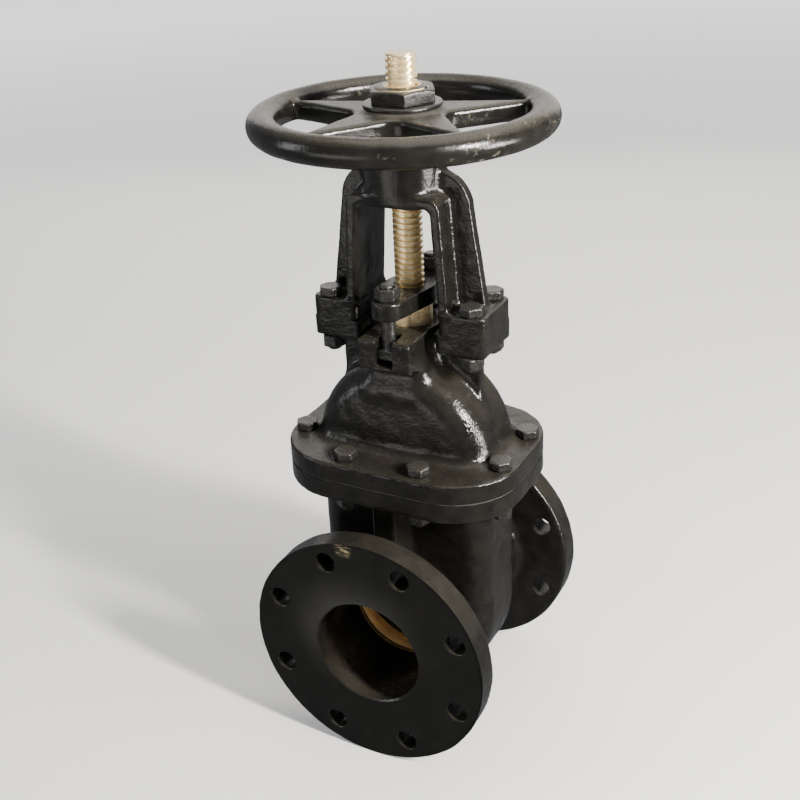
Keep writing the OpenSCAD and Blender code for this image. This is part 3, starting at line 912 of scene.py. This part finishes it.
def make_yoke():
    g = Grid((-83, -38, foot_bottom - 3), (83, 38, boss_top + 3), 1.1)
    side = folded(g, "x")
    arm_inner, arm_outer = 39.5, 48.5
    shoulder, shoulder_r = 43, 9.5
    crook_r = 6
    rib_inner, rib_outer = 43.5, 73
    bend, bend_r, bend_z = 30, 30, 387
    arm_bottom = FOOT_TOP - 2
    plate_outline = (
        [(0, BOSS_BOTTOM), (28, BOSS_BOTTOM)]
        + arc(28, BOSS_BOTTOM - crook_r, crook_r, 90, 0, 5)
        + [(arm_inner, arm_bottom), (arm_outer, arm_bottom)]
        + arc(shoulder - shoulder_r, BOSS_BOTTOM - 0.5, shoulder_r, 0, 90, 6)
        + [(0, BOSS_BOTTOM + 9)]
    )
    rib_outline = (
        [(20, BOSS_BOTTOM + 2), (38, BOSS_BOTTOM + 2), (rib_inner, arm_bottom), (rib_outer, arm_bottom)]
        + arc(bend, bend_z, bend_r, 0, 90)
        + [(20, bend_z + bend_r)]
    )
    plate = corner(polygon(side.X, g.Z, plate_outline), np.abs(g.Y) - ARM_HALF, 2.5)
    rib = corner(polygon(side.X, g.Z, rib_outline), np.abs(g.Y) - RIB_HALF, 2)
    outline = rounded_outline(side.X, g.Y, (FOOT_INNER, EAR_OUTER), EAR_HALF, 7)
    foot = corner(outline, slab(g.Z, foot_bottom - 9, FOOT_TOP), 1.8)
    boss = upright(g, BOSS_R, (BOSS_BOTTOM, boss_top), 2)
    field = join(join(plate, rib, 5), boss, 7)
    field = join(field, foot, 6)
    field = rough(g, field, (0.4, 13, 11), (0.2, 4, 12))
    mesh = mesh_of_field("yoke_casting", g, field)
    mesh.materials.append(casting)
    collar_top = BOSS_BOTTOM + NUT_COLLAR_HOLE_T
    bore = lathe(
        "cutter",
        [(0, BOSS_BOTTOM - 6), (NUT_COLLAR_HOLE_R, BOSS_BOTTOM - 6), (NUT_COLLAR_HOLE_R, collar_top)]
        + [(SLEEVE_HOLE_R, collar_top), (SLEEVE_HOLE_R, boss_top + 6), (0, boss_top + 6)],
    )
    holes = [bore]
    for at in mirrored(yoke_bolt_places):
        holes.append(pin(BOLT_HOLE_R, foot_bottom - 1, FOOT_TOP + 4, at=at, sides=32))
    plane = box_cutter((-130, 130), (-60, 60), (foot_bottom - 20, foot_bottom))
    mesh = machined(mesh, [plane], machined_paint)
    mesh = machined(mesh, [joined(holes)], machined_paint)
    show("yoke_casting", mesh, "yoke", casting, "valve")


def make_gland_flange():
    g = Grid((-26, -60, gland_bottom - 3), (26, 60, gland_top + 3), 0.8)
    end = flange_high.y - GLAND_BOLT_Y
    x, y = np.abs(g.X), np.abs(g.Y)
    lean = (GLAND_WAIST - end) / GLAND_BOLT_Y
    upright_part = math.sqrt(1 - lean * lean)
    along = -lean * x + upright_part * y
    outline = np.where(
        along > upright_part * GLAND_BOLT_Y,
        length(x, y - GLAND_BOLT_Y) - end,
        upright_part * x + lean * y - GLAND_WAIST,
    )
    outline = np.where(along < 0, length(x, y) - GLAND_WAIST, outline)
    field = corner(outline, slab(g.Z, gland_bottom, gland_top), 1.8)
    field = rough(g, field, (0.3, 9, 15))
    mesh = mesh_of_field("gland_casting", g, field)
    mesh.materials.append(casting)
    seat = gland_bottom + BUSH_FLANGE_T
    hole = [(0, gland_bottom - 6), (GLAND_SEAT_R, gland_bottom - 6), (GLAND_SEAT_R, seat)]
    hole += [(GLAND_HOLE_R, seat), (GLAND_HOLE_R, gland_top - 1), (GLAND_HOLE_R + 1, gland_top)]
    hole += [(GLAND_HOLE_R + 1, gland_top + 6), (0, gland_top + 6)]
    holes = [lathe("cutter", hole)]
    for way in (-1, 1):
        at = (0, way * GLAND_BOLT_Y)
        holes.append(pin(BOLT_HOLE_R, gland_bottom - 5, gland_top + 5, at=at, sides=32))
    mesh = machined(mesh, [joined(holes)], machined_paint)
    show("gland_casting", mesh, "gland_flange", casting, "valve")


def make_handwheel():
    g = Grid((-129, -129, hub_bottom - 3), (129, 129, wheel_high.z + 2), 1.15)
    rho = length(g.X, g.Y)
    pitch = 2 * math.pi / SPOKES
    angle = np.arctan2(g.Y, g.X) - SPOKE_START
    angle = np.mod(angle, pitch) - pitch / 2
    u, v = rho * np.cos(angle), rho * np.sin(angle)
    tip, outer_r, half_angle, corner_r = 55, 100, 25.5, 14
    outline = [(tip, 0)] + arc(0, 0, outer_r, -half_angle, half_angle, 6)
    opening = polygon(u, v, outline) - corner_r
    opening = keep(opening, rho - rim_centre_r + RIM_R - 1, 3)
    web = corner(rho - WEB_R, slab(g.Z, WEB_BOTTOM, WEB_TOP), 1)
    hub = upright(g, washer_r, (hub_bottom, HUB_TOP), 1.5)
    field = cut(join(web, hub, 7), opening, 5)
    field = join(field, length(rho - rim_centre_r, g.Z - wheel_z) - RIM_R, 6)
    field = rough(g, field, (0.35, 18, 21), (0.12, 5, 22))
    mesh = mesh_of_field("handwheel_casting", g, field)
    mesh.materials.append(wheel_paint)
    base = box_cutter((-60, 60), (-60, 60), (hub_bottom - 9, hub_bottom))
    mesh = machined(mesh, [base], machined_paint)
    mesh = machined(mesh, [pin(NUT_TOP_R, hub_bottom - 4, HUB_TOP + 6)], machined_paint)
    show("handwheel_casting", mesh, "handwheel", wheel_paint, "wheel")


def make_gate():
    high = corners("gate")[1]
    g = Grid((-69, -37, -61), (69, 37, high.z + 3), 1.3)
    side = folded(g, "x")
    slope = (np.abs(g.Y) - GATE_HALF - g.Z * SEAT_SLOPE) / math.hypot(1, SEAT_SLOPE)
    disc = corner(length(g.X, g.Z) - GATE_R, slope, 1.5)
    hollow = corner(length(g.X, g.Z) - GATE_HOLLOW_R, -slope - GATE_HOLLOW_DEPTH, 3)
    disc = cut(disc, hollow, 3)
    through = (-40, 40)
    ears = block(
        side, (GATE_EAR_INNER, high.x), (-GATE_EAR_HALF, GATE_EAR_HALF), (-22, 22), 2
    )
    lug = block(
        g, (-GATE_LUG_HALF_X, GATE_LUG_HALF_X), (-GATE_LUG_HALF_Y, GATE_LUG_HALF_Y),
        (40, high.z), 3,
    )
    field = join(join(disc, ears, 5), lug, 5)
    slot_half = RIB_HALF + 0.7
    slot = block(side, (RAIL_INNER - 0.5, 80), (-slot_half, slot_half), through, 0.5)
    head = block(
        g, (-TEE_SLOT_HALF, TEE_SLOT_HALF), through, (TEE_SLOT_BOTTOM, TEE_SLOT_TOP), 0.5
    )
    neck = block(g, (-TEE_NECK_HALF, TEE_NECK_HALF), through, (62, 99), 0.5)
    field = cut(cut(field, slot, 1), np.minimum(head, neck), 1)
    field = rough(g, field, (0.3, 9, 31))
    mesh = mesh_of_field("gate_casting", g, field)
    show("gate_casting", mesh, "gate", casting, "stem")


# ---------------------------------------------------------------- fasteners

def hexagon_grid(flats, low, high, step):
    """Samples around a hexagon with corners on X."""
    reach = flats / math.sqrt(3) + 2
    return Grid((-reach, -reach, low - 2), (reach, reach, high + 2), step)


def hexagon(g, flats, z, edge, top=True, bottom=False):
    """Hexagon with corners on X, its ends turned down by a shallow cone."""
    slope = 0.5
    across = np.maximum(np.abs(g.Y), np.abs(g.X) * math.sqrt(0.75) + np.abs(g.Y) / 2) - flats / 2
    field = corner(across, slab(g.Z, *z), edge)
    outside = (length(g.X, g.Y) - flats / 2) * slope
    tilt = math.hypot(1, slope)
    if top:
        field = keep(field, (outside + g.Z - z[1]) / tilt, edge)
    if bottom:
        field = keep(field, (outside + z[0] - g.Z) / tilt, edge)
    return field


def threaded(g, r, z, depth=0.45, pitch=1.95):
    """Cylinder whose lower end carries a fine right-hand thread."""
    thread_length, run_out = 16, 3
    turn = np.arctan2(g.Y, g.X)
    groove = depth * (0.5 + 0.5 * np.cos(2 * math.pi * g.Z / pitch - turn))
    fade = np.clip((z[0] + thread_length - g.Z) / run_out, 0, 1)
    shank = length(g.X, g.Y) - r + groove * fade
    return corner(shank, slab(g.Z, *z), 1.0)


def bolt_places(places):
    """Every place of a pattern, each bolt turned its own way, as a fitter leaves them."""
    return [(x, y, 0.9 * i) for i, (x, y) in enumerate(mirrored(places))]


def hexagon_bolts(name, node, head_bottom, places, seed):
    """Bolts as long as their CAD node, one at each (x, y, angle)."""
    low, high = heights(node)
    g = hexagon_grid(BOLT_FLATS, low, high, BOLT_STEP)
    head = hexagon(g, BOLT_FLATS, (head_bottom, high), 0.9)
    field = np.minimum(head, threaded(g, BOLT_R, (low, head_bottom + 2)))
    field = rough(g, field, (0.2, 4, seed))
    field = np.maximum(field, np.where(length(g.X, g.Y) > BOLT_R + 1, head_bottom - g.Z, -9))
    mesh = mesh_of_field(name, g, field)
    show(name, copies(name, mesh, places), node, fastener_paint, "valve", HEXAGON_CREASE)


def hexagon_nuts(name, node, places, seed):
    """Nuts as high as their CAD node, one at each (x, y, angle)."""
    low, high = heights(node)
    g = hexagon_grid(BOLT_FLATS, low, high, BOLT_STEP)
    field = rough(g, hexagon(g, BOLT_FLATS, (low, high), 0.9, bottom=True), (0.2, 4, seed))
    mesh = mesh_of_field(name, g, field)
    mouths = ((low, -1, 0.8), (high, 1, 0.8))
    mesh = machined(mesh, [pin(BOLT_R + 0.1, low - 3, high + 3, mouths=mouths, sides=48)])
    show(name, copies(name, mesh, places), node, fastener_paint, "valve", HEXAGON_CREASE)


def make_gland_bolts():
    low, high = heights("gland_bolts")
    head_top = TEE_SEAT
    half = corners("gland_bolts")[1].x
    g = Grid((-half - 2, -10, low - 2), (half + 2, 10, high + 2), BOLT_STEP)
    head = block(g, (-half, half), (-BOLT_R, BOLT_R), (low, head_top), 1.2)
    upside_down = copy.copy(g)
    upside_down.Z = -g.Z
    shank = threaded(upside_down, BOLT_R, (-high, 3 - head_top))
    field = rough(g, join(head, shank, 2), (0.2, 4, 41))
    mesh = mesh_of_field("gland_bolts", g, field)
    mesh = copies("gland_tee_bolts", mesh, [(0, way * GLAND_BOLT_Y, 0) for way in (-1, 1)])
    show("gland_tee_bolts", mesh, "gland_bolts", fastener_paint, "valve", HEXAGON_CREASE)


def make_wheel_nut():
    low, high = heights("wheel_nut")
    flats = 2 * corners("wheel_nut")[1].y
    g = hexagon_grid(flats, low, high, 0.9)
    field = rough(g, hexagon(g, flats, (low, high), 1.3), (0.3, 9, 51))
    mesh = mesh_of_field("wheel_nut_hexagon", g, field)
    mouths = ((high, 1, 1.2),)
    mesh = machined(mesh, [pin(NUT_TOP_R, low - 3, high + 3, mouths=mouths, sides=96)])
    show("wheel_nut_hexagon", mesh, "wheel_nut", fastener_paint, "wheel", HEXAGON_CREASE)


# ---------------------------------------------------------------- turned parts

def thread_groove(turns_low, turns_high, sides=72):
    """The space between the turns of the stem's left-hand thread, as one long cutter.

    It rises out of the stem at its lower end, over run_out of a turn."""
    outer, root = STEM_R + 1.3, STEM_R - THREAD_DEPTH
    wide, narrow = 0.63 * THREAD_LEAD / 2 + 0.35, 0.37 * THREAD_LEAD / 2
    run_out = 0.6
    steps = int((turns_high - turns_low) * sides)
    points, faces = [], []
    for i in range(steps + 1):
        turn = turns_low + i / sides
        lift = max(0.0, 1 - i / (sides * run_out)) * (THREAD_DEPTH + 0.4)
        z = turn * THREAD_LEAD
        a = -2 * math.pi * turn
        for r, dz in (
            (outer, -wide),
            (outer, wide),
            (root + lift, narrow),
            (root + lift, -narrow),
        ):
            points.append((r * math.cos(a), r * math.sin(a), z + dz))
    for i in range(steps):
        for k in range(4):
            m = (k + 1) % 4
            faces.append((4 * i + k, 4 * i + m, 4 * i + 4 + m, 4 * i + 4 + k))
    faces += [(3, 2, 1, 0), tuple(4 * steps + k for k in range(4))]
    mesh = mesh_from("cutter", points, faces)
    turn_outwards(mesh)
    return mesh


def make_stem():
    collar_top = BACKSEAT_BOTTOM - LIFT - COLLAR_GAP
    collar_t, collar_chamfer = 12, 4.3
    shank_r = 8.5
    shank_bottom = stem_low.z + TEE_HEAD_T - 1
    shank_top = stem_low.z + 22
    end_r = 2
    profile = (
        [(0, shank_bottom), (shank_r, shank_bottom), (shank_r, shank_top), (STEM_R, shank_top)]
        + [(STEM_R, collar_top - collar_t), (COLLAR_R, collar_top - collar_t)]
        + [(COLLAR_R, collar_top - collar_chamfer), (STEM_R, collar_top)]
        + [(STEM_R, stem_top - end_r)]
        + arc(STEM_R - end_r, stem_top - end_r, end_r, 0, 90, 4)
        + [(0, stem_top)]
    )
    mesh = lathe("stem_screw", profile, 72)
    groove = thread_groove(THREAD_BOTTOM / THREAD_LEAD, stem_top / THREAD_LEAD + 2)
    mesh = machined(mesh, [groove])
    head_top = stem_low.z + TEE_HEAD_T
    g = Grid((-19, -13, stem_low.z - 2), (19, 13, head_top + 2), 0.9)
    head = block(
        g, (stem_low.x, stem_high.x), (-TEE_HEAD_HALF_Y, TEE_HEAD_HALF_Y), (stem_low.z, head_top), 1.5
    )
    mesh = joined([mesh, mesh_of_field("tee", g, head)])
    show("stem_screw", mesh, "stem", stem_brass, "stem", 32)


def make_stem_nut():
    low, high = heights("stem_nut")
    collar_r = corners("stem_nut")[1].x
    collar_top = BOSS_BOTTOM + NUT_COLLAR_T
    bore = STEM_R + STEM_FIT
    profile = [
        (bore + 1, low), (collar_r - 1, low), (collar_r, low + 1),
        (collar_r, collar_top - 1), (collar_r - 1, collar_top), (SLEEVE_R, collar_top),
        (SLEEVE_R, hub_bottom), (NUT_TOP_R, hub_bottom), (NUT_TOP_R, high - 1),
        (NUT_TOP_R - 1, high - 0.4), (NUT_BRIGHT_R, high), (bore + 1.2, high),
        (bore, high - 1.2), (bore, low + 1),
    ]
    mesh = lathe("stem_nut_turned", profile)
    key_low, key_high = corners("wheel_key")
    key = box_cutter(
        (key_low.x, key_high.x + 5), (key_low.y, key_high.y), (key_low.z, key_high.z + 0.4)
    )
    mesh.materials.append(nut_brass)
    mesh = machined(mesh, [key], nut_brass)
    # The end of the nut is painted over but for a bright ring around the stem
    mesh.materials.append(fastener_paint)
    for face in mesh.polygons:
        at = (face.center - CENTRE) / MM
        if at.z > washer_top and at.xy.length > NUT_BRIGHT_R:
            face.material_index = len(mesh.materials) - 1
    show("stem_nut_turned", mesh, "stem_nut", nut_brass, "wheel")


def make_wheel_washer():
    """A ring with rounded outer edges."""
    low, high, edge = washer_bottom, washer_top, WASHER_EDGE
    profile = (
        [(NUT_TOP_R, low)]
        + arc(washer_r - edge, low + edge, edge, -90, 0, 5)
        + arc(washer_r - edge, high - edge, edge, 0, 90, 5)
        + [(NUT_TOP_R, high)]
    )
    mesh = lathe("wheel_washer_ring", profile)
    show("wheel_washer_ring", mesh, "wheel_washer", fastener_paint, "wheel")


def make_gland_bush():
    low, high = heights("gland_bush")
    r = corners("gland_bush")[1].x
    shoulder = high - BUSH_FLANGE_T
    nose = PACKING_R - 0.15
    bore = STEM_R + STEM_FIT
    profile = [
        (bore + 1, low), (nose - 0.8, low), (nose, low + 0.8), (nose, shoulder),
        (r - 0.5, shoulder), (r, shoulder + 0.5), (r, high - 0.5), (r - 0.5, high),
        (bore + 0.8, high), (bore, high - 0.8), (bore, low + 1),
    ]
    show("gland_bush_turned", lathe("gland_bush_turned", profile), "gland_bush", nut_brass, "valve")


def make_bronze_ring(node, body):
    """The node's own shape, welded so that its turned faces shade smoothly."""
    mesh = nodes[node].data.copy()
    mesh.materials.clear()
    mesh.transform(nodes[node].matrix_world)
    bm = bmesh.new()
    bm.from_mesh(mesh)
    bmesh.ops.remove_doubles(bm, verts=bm.verts, dist=1e-6)
    bm.to_mesh(mesh)
    bm.free()
    show(node + "_turned", mesh, node, bronze, body)


# ---------------------------------------------------------------- everything is made

make_body()
make_bonnet()
make_yoke()
make_gland_flange()
make_gate()
make_handwheel()

joint_places = bolt_places(joint_bolt_places)
yoke_places = bolt_places(yoke_bolt_places)
gland_places = [(0, way * GLAND_BOLT_Y, 0.5) for way in (-1, 1)]
hexagon_bolts("bonnet_bolt_set", "bonnet_bolts", bonnet_joint_top, joint_places, 61)
hexagon_nuts("bonnet_nut_set", "bonnet_nuts", joint_places, 62)
hexagon_bolts("yoke_bolt_set", "yoke_bolts", FOOT_TOP, yoke_places, 63)
hexagon_nuts("yoke_nut_set", "yoke_nuts", yoke_places, 64)
hexagon_nuts("gland_nut_set", "gland_nuts", gland_places, 65)
make_gland_bolts()
make_wheel_nut()
make_wheel_washer()
make_stem()
make_stem_nut()
make_gland_bush()
for ring, ring_body in (
    ("seat_ring_inlet", "valve"),
    ("seat_ring_outlet", "valve"),
    ("backseat_bush", "valve"),
    ("gate_ring_inlet", "stem"),
    ("gate_ring_outlet", "stem"),
):
    make_bronze_ring(ring, ring_body)


# ---------------------------------------------------------------- floor, light and camera

def make_floor():
    """A pale floor that stays pale far away, and that the paint doesn't mirror."""
    half = 9000
    points = [(x, y, -flange_r) for x in (-half, half) for y in (-half, half)]
    obj = new_object("floor", mesh_from("floor", points, [(0, 2, 3, 1)]))
    look = Look("pale_floor", Roughness=0.6, Emission_Color=(1, 0.99, 0.97, 1))
    look.set("Base Color", look.mix(look.noise(300), (0.86, 0.855, 0.84), (0.9, 0.895, 0.88)))
    look.set("Emission Strength", look.spread(look.near((0, 0, 0), 300, 4200), 0, 1, 1.35, 0.16))
    obj.data.materials.append(look.material)
    obj.visible_glossy = False


def place_light(kind, name, at, aim, watts, colour, **settings):
    """A light at one point that faces another, in millimetres from the centre."""
    light = bpy.data.lights.new(name, kind)
    light.energy = watts
    light.color = colour
    for label, value in settings.items():
        setattr(light, label, value)
    way = (Vector(aim) - Vector(at)).to_track_quat("-Z", "Y").to_matrix().to_4x4()
    obj = new_object(name, light)
    obj.matrix_world = Matrix.Translation(CENTRE + Vector(at) * MM) @ way


def soft_light(name, at, size, watts, colour, aim=(0, 0, 200)):
    """A rectangular light, aimed at the middle of the valve if nothing else is named."""
    wide, high = size
    place_light(
        "AREA", name, at, aim, watts, colour,
        shape="RECTANGLE", size=wide * MM, size_y=high * MM,
    )


def make_lights():
    warm, cool = (1.0, 0.96, 0.9), (0.94, 0.97, 1.0)
    soft_light("overhead", (200, 300, 1800), (1800, 1800), 19, warm)
    soft_light("key", (1500, -420, 980), (150, 420), 92, warm)
    soft_light("side", (2200, 100, 250), (700, 500), 68, warm)
    soft_light("fill", (-1400, -900, 700), (250, 1000), 6, cool)
    soft_light("back", (-700, 1600, 900), (2200, 1300), 12, warm)
    soft_light("front", (-560, -1500, 60), (1100, 500), 4, warm, (20, 0, 20))
    # A soft-edged beam through the port, onto the seat ring
    place_light(
        "SPOT", "port", (-300, -700, 20), (26, -38, 16), 70, warm,
        spot_size=math.radians(8.5), spot_blend=0.8, shadow_soft_size=30 * MM,
    )
    world = bpy.data.worlds.new("studio")
    world.use_nodes = True
    background = world.node_tree.nodes["Background"]
    background.inputs["Color"].default_value = (0.92, 0.93, 1.0, 1)
    background.inputs["Strength"].default_value = 0.22
    bpy.context.scene.world = world


def make_camera():
    """The camera. Its place, turn and lens come from a fit to the two pipe flanges."""
    yaw, pitch, roll = math.radians(28.256), math.radians(26.323), math.radians(-2.716)
    at = Vector((443.6, -853.5, 678.7))
    back = Vector(
        (math.sin(yaw) * math.cos(pitch), -math.cos(yaw) * math.cos(pitch), math.sin(pitch))
    )
    right = Vector((0, 0, 1)).cross(back).normalized()
    up = back.cross(right)
    turn = Matrix((right, up, back)).transposed().to_4x4()
    camera = bpy.data.cameras.new("camera")
    camera.lens = 53.67
    camera.sensor_width = 36
    camera.clip_start = 0.01
    obj = new_object("camera", camera)
    obj.matrix_world = (
        Matrix.Translation(CENTRE + at * MM) @ Matrix.Rotation(roll, 4, back) @ turn
    )
    bpy.context.scene.camera = obj


make_floor()
make_lights()
make_camera()

bpy.context.view_layer.update()
